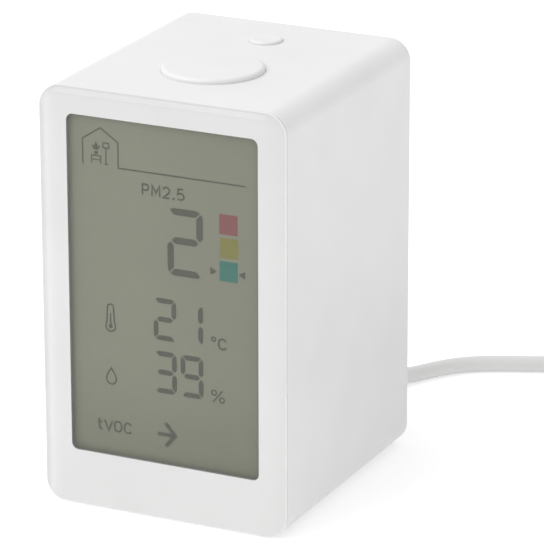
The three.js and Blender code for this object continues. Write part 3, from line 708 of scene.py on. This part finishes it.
def feet():
    """Round rubber pads with a slightly hollow underside."""
    for k, (x, y) in enumerate(foot_places(), 1):
        low, high = span(f"foot_{k}")
        radius, top = (high.x - low.x) / 2, high.z
        rim = [(radius - d, z) for d, z in fillet(0.3, 4)]
        profile = [(0, 0.06), (radius - 0.9, 0.06), (radius - 0.75, 0.0), *rim, (radius, top), (0, top)]
        pad = moved(lathe(profile, 48), Matrix.Translation((x, y, 0)))
        piece(f"rubber_foot_{k}", pad, RUBBER, stands_for=[f"foot_{k}"])


def front_plate():
    """The clear plate over the whole front, with softly rounded front edges."""
    outline = rounded(WIDTH, HEIGHT, CORNER, 0, MIDDLE_Z, 24)
    front_edge = fillet(1.8, 14)
    back_edge = [(0.0, 2.12), (0.02, 2.18), (0.08, 2.2)]
    bm = lofted_slab([(outline, front_edge + back_edge)])
    plate = piece("front_plate", standing(bm, PLATE_LOW.y), CLEAR, stands_for=["front_window"])
    plate.visible_shadow = False
    plate.visible_diffuse = False


def framed_sheet(outline, gap, opening, depth):
    """A flat sheet with an opening, its rim that far inside the outline."""
    return lofted_slab([
        (outline, [(gap, 0.0), (gap, depth)]),
        (hole(opening), [(0.0, 0.0), (0.0, depth)]),
    ])


def printed_mask():
    """The white print. It is let into the plate's back by a hair, as ink is one with what it is on."""
    ink, thick = 0.1, MASK_HIGH.y - PLATE_HIGH.y
    print_gap, edge_gap, bond_gap = 0.25, 0.03, 0.4
    edge_wide, edge_depth, edge_before = 0.2, 0.3, 0.36
    start = PLATE_HIGH.y - ink
    outline = rounded(WIDTH, HEIGHT, CORNER, 0, MIDDLE_Z, 24)
    opening = rounded(DISPLAY["width"], DISPLAY["height"], DISPLAY["corner"], 0, DISPLAY["z"], 12)
    print_end = ink + 0.06
    bm = framed_sheet(outline, print_gap, opening, print_end)
    mask = piece("printed_mask", standing(bm, start), MASK_WHITE_PAINTED_LIGHT, stands_for=["window_mask"])
    # A thin ring of brighter white just inside the plate's edge, beside the seam: a painted highlight along
    # the edge.
    rim = rounded(WIDTH - 2 * edge_wide, HEIGHT - 2 * edge_wide, CORNER - edge_wide, 0, MIDDLE_Z, 24)
    bm = framed_sheet(outline, edge_gap, rim, edge_depth)
    piece("painted_highlight_edge", standing(bm, PLATE_HIGH.y - edge_before), EDGE_HIGHLIGHT_WHITE)
    # The bond round the plate's back: a real part, coloured near black as painted shade in the seam between
    # plate and shell.
    bond_hole = rounded(DISPLAY["width"] + 1, DISPLAY["height"] + 1, 2.0, 0, DISPLAY["z"], 12)
    bond = thick + ink - print_end
    bm = framed_sheet(outline, bond_gap, bond_hole, bond)
    adhesive = piece("plate_adhesive_painted_shade", standing(bm, start + print_end), ADHESIVE_PAINTED_SHADE)
    mask.visible_shadow = adhesive.visible_shadow = False


def cover_screw_places():
    """Each cover screw's x and z, and the y of its head."""
    places = []
    for k in range(1, 5):
        low, high = span(f"cover_screw_{k}")
        places.append(((low.x + high.x) / 2, (low.z + high.z) / 2, high.y))
    return places


def vented_cover():
    """The rear cover, with its slots, the power opening and sunk screw places."""
    width, height = COVER_HIGH.x - COVER_LOW.x, COVER_HIGH.z - COVER_LOW.z
    play, soft = 0.22, 0.2
    screws = cover_screw_places()
    outline = rounded(width, height, CORNER - WALL - play, 0, MIDDLE_Z, 16)
    holes = [slot_shape(30, 1.6, 0, 23 + 3.4 * i) for i in range(13)]
    holes += [slot_shape(11, 1.4, -9.5, 9 + 2.7 * k) for k in (-1, 0, 1)]
    holes.append(slot_shape(9.9, 4.1, USB["x"], USB["z"], 12))
    holes += [round_shape(1.15, x, z, 24) for x, z, _ in screws]
    loops = [outline] + [hole(shape) for shape in holes]
    cover = standing(slab(loops, COVER_HIGH.y - COVER_LOW.y, soft, 3), COVER_LOW.y)
    out = COVER_HIGH.y
    radius, sunk = 2.2, 1.5
    edge = [(radius + d, out - z) for d, z in reversed(fillet(soft, 3))]
    profile = [(0, out - sunk), (radius, out - sunk), *edge, (radius + soft, out + 1), (0, out + 1)]
    for x, z, _ in screws:
        cover = carved(cover, moved(lathe(profile, 40), stand_at(x, 0, z)))
    piece("vented_cover", cover, WHITE, stands_for=["rear_cover"])


def screw(name, node, x, z, head_top):
    """A small pan-head screw with a cross recess, its axis along Y and its head behind."""
    head, shank, length = 1.8, 0.9, 7.0
    seat = -1.2
    dome = [(head - 0.25 * (1 - math.cos(a)), -0.45 + 0.45 * math.sin(a))
            for a in [math.pi / 8 * k for k in range(4)]]
    profile = [(0, seat - length), (shank * 0.5, seat - length), (shank, seat - length + 0.8),
               (shank, seat), (head - 0.08, seat), (head, seat + 0.08), *dome, (head * 0.7, 0), (0, 0)]
    bm = lathe(profile, 40)
    for turn in (0, math.pi / 2):
        arm = block(-1.15, 1.15, -0.21, 0.21, -0.75, 0.5)
        bm = carved(bm, moved(arm, Matrix.Rotation(turn + 0.4, 4, "Z")))
    piece(name, moved(bm, stand_at(x, head_top, z)), STEEL, stands_for=[node])


def cover_screws():
    """The four screws that hold the rear cover."""
    for k, place in enumerate(cover_screw_places(), 1):
        screw(f"rear_screw_{k}", f"cover_screw_{k}", *place)


# -------------------- buttons
def button(name, node, sizes, post, wall, soft, dish=0.0, segments=96):
    """A round cap with a soft rim, a stop flange under the top wall and a centre post."""
    low, high = span(node)
    cap, top = sizes["hole"] - CAP_GAP, high.z
    flange, foot = (high.x - low.x) / 2, low.z
    ceiling = TOP - WALL
    flange_low, flange_top, hollow_top = ceiling - 1.5, ceiling - 0.3, top - 1.8
    rim = [(cap - d, top - z) for d, z in reversed(fillet(soft, 8))]
    edge = cap - soft
    face = [(edge * (1 - t), top - dish * smoothstep(t * 1.25)) for t in (0.15, 0.3, 0.45, 0.6, 0.8)]
    inner = cap - wall
    profile = [
        (0, foot), (post - 0.2, foot), (post, foot + 0.2), (post, hollow_top), (inner, hollow_top),
        (inner, flange_low), (flange, flange_low), (flange, flange_top), (cap, flange_top),
        *rim, *face, (0, top - dish),
    ]
    bm = moved(lathe(profile, segments), Matrix.Translation((sizes["x"], sizes["y"], 0)))
    piece(name, bm, BUTTON_WHITE, body=node, stands_for=[node])


def press_spring():
    """A wire spring under the large button."""
    low, high = span("mode_button_spring")
    wire, turns, steps, sides = 0.3, 4.5, 216, 12
    radius = (high.x - low.x) / 2 - wire
    bm = bmesh.new()
    rings = []
    for i in range(steps + 1):
        t = i / steps
        a = 2 * math.pi * turns * t
        ease = smoothstep(t) * 0.35 + t * 0.65
        middle = Vector((MODE["x"] + radius * math.cos(a), MODE["y"] + radius * math.sin(a),
                         low.z + wire + (high.z - low.z - 2 * wire) * ease))
        outward = Vector((math.cos(a), math.sin(a), 0))
        turn = [2 * math.pi * k / sides for k in range(sides)]
        rings.append(ring_of(bm, [
            middle + wire * (outward * math.cos(b) + Vector((0, 0, 1)) * math.sin(b)) for b in turn]))
    join_rings(bm, rings)
    for ring in (rings[0], rings[-1]):
        bm.faces.new(ring)
    spring = piece("press_spring", facing_out(bm), STEEL, stands_for=["mode_button_spring"], angle=60)
    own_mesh(spring)


# -------------------- display
INK_FRONT = FILM_LOW.y - 0.02
INK_DEPTH = 0.03
RED = lcd_ink("lcd_red", (0.167, 0.062, 0.062))
YELLOW = lcd_ink("lcd_yellow", (0.154, 0.147, 0.041))
TEAL = lcd_ink("lcd_teal", (0.035, 0.124, 0.103))
INK = lcd_ink("lcd_segment", (0.066, 0.068, 0.054))


def arc(cx, cy, rx, ry, start, end, steps=10):
    """Points on an ellipse's arc, angles in degrees."""
    turn = [math.radians(start + (end - start) * i / steps) for i in range(steps + 1)]
    return [(cx + rx * math.cos(a), cy + ry * math.sin(a)) for a in turn]


def anticlockwise(outline):
    """The outline, turned round if it runs clockwise."""
    area = sum(a[0] * b[1] - b[0] * a[1] for a, b in zip(outline, outline[1:] + outline[:1]))
    return outline if area > 0 else outline[::-1]


def stroke(points, width, closed=False):
    """The outline or outlines of a line of even width."""
    if closed:
        ring = anticlockwise(points)
        return [inset(ring, -width / 2), hole(inset(ring, width / 2))]
    sides = []
    for sign in (1, -1):
        side = []
        for i, (x, y) in enumerate(points):
            before = Vector(points[i]) - Vector(points[i - 1]) if i else None
            after = Vector(points[i + 1]) - Vector(points[i]) if i + 1 < len(points) else None
            before, after = before or after, after or before
            u, v = before.normalized(), after.normalized()
            normal = Vector((-u.y - v.y, u.x + v.x)).normalized()
            reach = width / 2 / max(normal.dot(Vector((-v.y, v.x))), 0.45)
            side.append((x + sign * normal.x * reach, y + sign * normal.y * reach))
        sides.append(side)
    return [sides[1] + sides[0][::-1]]


def segments_of(x, z, width, height, thick, lift=0.0):
    """The seven segments of a digit whose low left corner is at (x, z), by letter."""
    gap, tip_gap, bend = thick * 0.09, thick * 0.2, thick * 1.25
    middle = height / 2 + lift
    tip, inner = thick * 0.5, thick * 1.09

    def corner(start, end):
        return arc(bend, height - bend, bend, bend, start, end, 3)

    across = corner(131, 90) + [(width - px, py) for px, py in corner(90, 131)]
    across += [(width - inner, height - thick), (inner, height - thick)]

    def upright(reach):
        low = height - reach
        return [(0, low + thick * 0.75), (tip, low + tip_gap), (thick, low + thick * 0.75),
                (thick, height - inner - gap)] + corner(139, 180)

    bar = [(tip + tip_gap, middle), (inner + gap, middle + tip), (width - inner - gap, middle + tip),
           (width - tip - tip_gap, middle), (width - inner - gap, middle - tip), (inner + gap, middle - tip)]

    def flipped(shape, across_x, across_z):
        return [(width - px if across_x else px, height - pz if across_z else pz) for px, pz in shape]

    shapes = {
        "a": across, "d": flipped(across, False, True), "g": bar,
        "f": upright(height - middle), "b": flipped(upright(height - middle), True, False),
        "e": flipped(upright(middle), False, True), "c": flipped(upright(middle), True, True),
    }
    return {letter: [(x + px, z + pz) for px, pz in shape] for letter, shape in shapes.items()}


DIGITS = {"1": "bc", "2": "abged", "3": "abgcd", "9": "abcdfg"}


def digit(figure, *cell):
    """The lit segments of one figure."""
    shapes = segments_of(*cell)
    return [anticlockwise(shapes[letter]) for letter in DIGITS[figure]]


def ink_piece(name, outlines, material=INK):
    """Outlines in X and Z as one thin piece on the film."""
    bm = slab(outlines, INK_DEPTH)
    return piece(name, standing(bm, INK_FRONT), material, angle=30, weighted=False)


def letter_p(x, z, w, h, thick):
    """The stem, and a bowl that starts a hair from it."""
    bowl = h * 0.27
    turn = arc(x + w - bowl, z + h - bowl, bowl, bowl, 90, -90, 9)
    start = x + thick / 2 + 0.01
    return [[(x, z), (x, z + h + thick / 2)], [(start, z + h)] + turn + [(start, z + h - 2 * bowl)]]


def letter_m(x, z, w, h):
    """Up, down to the middle, up and down again, in one line."""
    return [[(x, z), (x, z + h), (x + w / 2, z + h * 0.32), (x + w, z + h), (x + w, z)]]


def figure_2(x, z, w, h):
    """A round top that runs into a straight foot."""
    r = w / 2
    top = arc(x + r, z + h - r, r, r, 165, -35, 11)
    return [top + [(x + 0.05, z), (x + w, z)]]


def figure_5(x, z, w, h):
    """A flag over an open bowl."""
    r = h * 0.31
    bowl = arc(x + w - r * 1.05, z + r, r * 1.05, r, 110, -140, 12)
    return [[(x + w * 0.92, z + h), (x + w * 0.14, z + h), (x + w * 0.05, z + h * 0.52)] + bowl]


def letter_c(x, z, w, h):
    """Two half rounds, open to the right."""
    r = w / 2
    return [arc(x + r, z + h - r, r, r, 25, 180, 9) + arc(x + r, z + r, r, r, 180, 335, 9)]


def letter_v(x, z, w, h):
    """Two straight lines that meet at the foot."""
    return [[(x, z + h), (x + w / 2, z), (x + w, z + h)]]


def letter_t(x, z, w, h, thick):
    """A stem with a hooked foot, and a crossbar in two halves that start a hair from it."""
    bend = w * 0.55
    stem, bar = x + w * 0.3, z + h * 0.66
    foot = arc(stem + bend, z + bend, bend, bend, 180, 290, 7)
    side = thick / 2 + 0.01
    return [[(stem, z + h)] + foot, [(stem - side - 0.28, bar), (stem - side, bar)],
            [(stem + side, bar), (stem + side + 0.4, bar)]]


def letter_o(x, z, w, h):
    """Two half rounds that close."""
    r = w / 2
    return arc(x + r, z + h - r, r, r, 0, 180, 12) + arc(x + r, z + r, r, r, 180, 360, 12)


def strokes(lines, width):
    """The outlines of several open lines."""
    return [outline for line in lines for outline in stroke(line, width)]


def display_marks():
    """Everything that the display shows, as thin shapes on its film."""
    ink_piece("lcd_particles_value", digit("2", 0.57, 53.32, 8.06, 14.36, 1.48, 0.33))
    ink_piece("lcd_temperature_value",
              digit("2", -2.75, 38.95, 5.2, 9.1, 1.1) + digit("1", 3.3, 38.95, 5.2, 9.1, 1.12))
    ink_piece("lcd_humidity_value",
              digit("3", -2.75, 27.51, 5.2, 9.1, 1.1) + digit("9", 3.3, 27.51, 5.2, 9.1, 1.1))
    thin, line = 0.42, 0.37
    z, tall = 69.5, 2.25
    text = letter_p(-4.9, z, 1.35, tall, thin) + letter_m(-2.72, z, 1.7, tall)
    text += figure_2(-0.22, z, 1.4, tall) + figure_5(2.98, z, 1.45, tall)
    dot = rounded(0.5, 0.5, 0.12, 2.1, z, 4)
    ink_piece("lcd_particles_label", strokes(text, thin) + [dot])
    z, tall = 17.35, 2.2
    text = letter_t(-15.85, z, 0.95, 2.45, thin) + letter_v(-14.35, z, 1.85, tall)
    text += letter_c(-9.75, z, 1.6, tall)
    ring = stroke(letter_o(-12.05, z, 1.6, tall), thin, closed=True)
    ink_piece("lcd_compounds_label", strokes(text, thin) + ring)
    degree = stroke(round_shape(0.42, 10.84, 41.05, 20), line, closed=True)
    ink_piece("lcd_celsius_label", degree + strokes(letter_c(12.0, 39.1, 1.75, 2.2), 0.44))
    percent = [stroke(round_shape(0.52, cx, cz, 20), line, closed=True)
               for cx, cz in ((10.85, 29.5), (12.67, 28.1))]
    bar = stroke([(10.68, 27.5), (12.8, 30.15)], 0.36)
    ink_piece("lcd_percent_label", percent[0] + percent[1] + bar)
    house = [(-18.41, 74.25), (-18.41, 79.64), (-14.3, 82.3), (-10.35, 79.64), (-10.35, 74.31),
             (18.12, 74.31)]
    ink_piece("lcd_house_line", stroke(house, 0.31))
    room_picture(0.28)
    ink_piece("lcd_markers", [
        [(10.2, 54.7), (11.72, 55.56), (10.2, 56.42)],
        [(18.0, 54.7), (18.0, 56.42), (16.5, 55.56)],
    ])
    thermometer(line)
    drop = [(-12.62, 31.15), (-13.35, 29.95)] + arc(-12.62, 28.85, 1.14, 1.22, 160, 380, 16)
    drop.append((-11.89, 29.95))
    ink_piece("lcd_humidity_icon", stroke(drop, line, closed=True))
    arrow = [(-2.1, 18.97), (-2.1, 18.11), (0.95, 18.11), (-0.6, 16.2), (0.1, 15.72), (2.5, 18.54),
             (0.1, 21.36), (-0.6, 20.88), (0.95, 18.97)]
    ink_piece("lcd_arrow", [arrow])
    for colour, material, x, z in (
            ("red", RED, 14.32, 65.76), ("yellow", YELLOW, 14.45, 60.8), ("teal", TEAL, 14.32, 55.86)):
        ink_piece(f"lcd_{colour}_field", [rounded(4.1, 4.25, 0.06, x, z, 2)], material)


def room_picture(line):
    """A plant on a stool beside a floor lamp, inside the house line."""
    floor, lamp_x, plant_x = 74.75, -13.1, -15.35
    shade_low, shade_top, hair = 78.2, 79.2, 0.01
    lampshade = stroke([(lamp_x - 0.72, shade_low), (lamp_x + 0.72, shade_low), (lamp_x + 0.6, shade_top),
                        (lamp_x - 0.6, shade_top)], line, closed=True)
    stem = stroke([(lamp_x, floor + line / 2 + hair), (lamp_x, shade_low - line / 2 - hair)], line)
    base = stroke([(lamp_x - 0.45, floor), (lamp_x + 0.45, floor)], line)
    stool = stroke([(plant_x - 1.05, floor - 0.1), (plant_x - 1.05, 76.35), (plant_x + 1.05, 76.35),
                    (plant_x + 1.05, floor - 0.1)], line)
    rail = stroke([(plant_x - 0.85, 75.5), (plant_x + 0.85, 75.5)], line * 0.8)
    pot = [(plant_x - 0.34, 76.62), (plant_x + 0.34, 76.62), (plant_x + 0.46, 77.25), (plant_x - 0.46, 77.25)]
    leaves = [(0.0, 77.45), (0.62, 77.75), (1.02, 78.6), (0.42, 78.35), (0.0, 79.4), (-0.42, 78.35),
              (-1.02, 78.6), (-0.62, 77.75)]
    plant = [(plant_x + px, pz) for px, pz in leaves]
    ink_piece("lcd_room_icon", lampshade + stem + base + stool + rail + [pot, plant])


def thermometer(line):
    """A bulb and tube outline with a filled column."""
    cx, bulb_z, top_z = -12.6, 40.25, 44.3
    outline = arc(cx, top_z, 0.7, 0.7, 0, 180, 10) + arc(cx, bulb_z, 1.12, 1.12, 142, 398, 16)
    column = arc(cx, bulb_z, 0.5, 0.5, 112, 428, 12) + [(cx + 0.13, 43.1), (cx - 0.13, 43.1)]
    ink_piece("lcd_temperature_icon", stroke(outline, line, closed=True) + [anticlockwise(column)])


def film_sheet():
    """The display's top film."""
    width, height = FILM_HIGH.x - FILM_LOW.x, FILM_HIGH.z - FILM_LOW.z
    outline = rounded(width, height, 0.3, 0, (FILM_LOW.z + FILM_HIGH.z) / 2, 4)
    bm = slab([outline], FILM_HIGH.y - FILM_LOW.y)
    piece("display_film", standing(bm, FILM_LOW.y), FILM, stands_for=["lcd_polariser"])


# -------------------- lead
def strain_relief(y0, y1, wide, narrow, ribs, x, z):
    """A tapered sleeve with grooves, along Y from y0 to y1, that starts inside the plug's body."""
    length, overlap, groove = y1 - y0, 0.6, 0.35
    profile = [(0, -overlap), (wide, -overlap), (wide, 0.3)]
    for k in range(ribs):
        a, b = (k + 0.35) / (ribs + 0.3), (k + 0.75) / (ribs + 0.3)
        for t, sunk in ((a, 0.0), (a + 0.04, groove), (b - 0.04, groove), (b, 0.0)):
            profile.append((wide + (narrow - wide) * t - sunk, length * t))
    profile += [(narrow, length - 0.25), (narrow - 0.2, length), (0, length)]
    return moved(lathe(profile, 40), stand_at(x, y0, z))


def plug_moulding(name, node, x, z, grip, corner, edge, wide, relief_end):
    """A plug's moulded grip with rounded ends, as one with the strain relief behind it."""
    low, high = span(node)
    grip_end = low.y + grip
    outline = rounded(high.x - low.x, high.z - low.z, corner, x, z, 10)
    body = standing(slab([outline], grip_end - low.y, edge, 5), low.y)
    relief = strain_relief(grip_end, relief_end, wide, 2.15, 3, x, z)
    return piece(name, carved(body, relief, "UNION"), LEAD_WHITE, body="lead", stands_for=[node])


def usb_c_plug():
    """The lead's near plug: its moulding with the strain relief, and its metal tip."""
    made = plug_moulding("near_plug_moulding", "usb_c_overmould", USB["x"], USB["z"],
                         grip=12.4, corner=2.6, edge=0.6, wide=2.9, relief_end=LEAD_START - 0.05)
    tip_low, tip_high = span("usb_c_tip")
    outer = slot_shape(8.25, 2.4, USB["x"], USB["z"], 12)
    inner = slot_shape(7.6, 1.75, USB["x"], USB["z"], 12)
    tip = standing(slab([outer], tip_high.y - tip_low.y, 0.25, 4, back_edge=0.0), tip_low.y)
    mouth_depth, before = 5.6, 0.1
    well = standing(slab([inner], mouth_depth), tip_low.y - before)
    shell = piece("near_plug_tip", carved(tip, well), STEEL, body="lead", stands_for=["usb_c_tip"])
    return [made, shell]


def usb_a_plug():
    """The lead's far plug: its moulding, its metal shell, the tongue inside and four contacts."""
    low, high = span("usb_a_overmould")
    x, z = (low.x + high.x) / 2, (low.z + high.z) / 2
    end_wall, before = 1, 0.5
    made = plug_moulding("far_plug_moulding", "usb_a_overmould", x, z,
                         grip=20, corner=2.2, edge=0.7, wide=3.0, relief_end=high.y)
    s_low, s_high = span("usb_a_shell")
    outer = rounded(12, 4.5, 0.55, x, z, 5)
    inner = rounded(11.3, 3.8, 0.25, x, z, 5)
    tube = standing(slab([outer], s_high.y - s_low.y, 0.15, 2, back_edge=0.0), s_low.y)
    tube = carved(tube, standing(slab([inner], s_high.y - s_low.y - end_wall + before), s_low.y - before))
    for side in (-1, 1):
        for top in (z - 3.0, z + 2.0):
            middle = x + side * 2.9
            latch = block(middle - 1.15, middle + 1.15, s_low.y + 5, s_low.y + 7.6, top, top + 1)
            tube = carved(tube, latch)
    shell = piece("far_plug_shell", tube, STEEL, body="lead", stands_for=["usb_a_shell"])
    i_low, i_high = span("usb_a_insulator")
    tongue = block(i_low.x, i_high.x, i_low.y, i_high.y, i_low.z, i_high.z, 0.15)
    insulator = piece("far_plug_tongue", tongue, CHIP, body="lead", stands_for=["usb_a_insulator"])
    pads = []
    for offset in (-3.5, -1.0, 1.0, 3.5):
        left, right = x + offset - 0.5, x + offset + 0.5
        pads.append(block(
            left, right, i_low.y + 0.9, i_low.y + 9, i_high.z - 0.05, i_high.z + 0.08, 0.03, 1))
    contacts = piece("far_plug_contacts", with_parts(*pads), GOLD, body="lead")
    return [made, shell, insulator, contacts]


def tie():
    """A woven strap round the coil, its end folded over on top."""
    columns, rows = COIL["columns"], COIL["rows"]
    side, strap, wide = 0.6, 0.3, 6.0
    inner = 2 * (CORD * columns / 2 + side)
    foot, top = COIL["lift"] - 0.05, COIL["lift"] + CORD * rows + 0.4
    middle = (foot + top) / 2
    loops = [
        rounded(inner + 2 * strap, top - foot + 2 * strap, 1.4, 0, middle, 6),
        hole(rounded(inner, top - foot, 1.1, 0, middle, 6)),
    ]
    band = standing(slab(loops, wide, 0.1, 2), -wide / 2)
    end = block(-2.6, 5.2, -2.85, 2.85, top + strap + 0.02, top + strap + 0.5, 0.12)
    band = with_parts(band, end)
    turn = Matrix.Rotation(-3 * math.pi / 4, 4, "Z")
    place = Matrix.Translation((COIL["x"], COIL["y"], 0)) @ turn @ Matrix.Translation((COIL["radius"], 0, 0))
    return piece("coil_strap", moved(band, place), STRAP, body="lead", stands_for=["lead_tie"])


# -------------------- build
housing_shell()
feet()
front_plate()
printed_mask()
vented_cover()
cover_screws()
button("mode_cap", "mode_button", MODE, post=2.0, wall=1.4, soft=0.9)
button("standby_cap", "standby_button", STANDBY, post=1.2, wall=1.0, soft=0.5, dish=0.1, segments=64)
press_spring()
film_sheet()
display_marks()
on_cord = usb_c_plug() + usb_a_plug() + [tie()]


# -------------------- floor and light
def area_light(name, place, target, size, power):
    """A white rectangular light that faces its target."""
    data = bpy.data.lights.new(name, "AREA")
    data.shape = "RECTANGLE"
    data.size, data.size_y = size
    data.energy = power
    lamp = placed(name, data)
    lamp.location = place
    lamp.rotation_euler = (Vector(target) - Vector(place)).to_track_quat("-Z", "Y").to_euler()


def studio():
    """A white floor that glows a little, an even white surround and one soft light from the left."""
    mesh = bpy.data.meshes.new("floor")
    reach = 8.0
    corners = [(-reach, -reach, 0), (reach, -reach, 0), (reach, reach, 0), (-reach, reach, 0)]
    mesh.from_pydata(corners, [], [(0, 1, 2, 3)])
    floor = placed("floor", mesh)
    paper, _, shader = new_material("paper_floor", "floor", Roughness=0.9, Specular_IOR_Level=0.1)
    shader.inputs["Base Color"].default_value = (0.77, 0.77, 0.77, 1)
    shader.inputs["Emission Color"].default_value = (1, 1, 1, 1)
    shader.inputs["Emission Strength"].default_value = 0.36
    mesh.materials.append(paper)
    world = bpy.data.worlds.new("studio")
    bpy.context.scene.world = world
    world.use_nodes = True
    world.node_tree.nodes["Background"].inputs["Color"].default_value = (1, 1, 1, 1)
    world.node_tree.nodes["Background"].inputs["Strength"].default_value = 0.88
    area_light("key", (-0.8, -0.7, 1.4), target=(0, 0, 0.05), size=(1.5, 1.5), power=18.3)
    bpy.context.scene.view_settings.view_transform = "Standard"


studio()
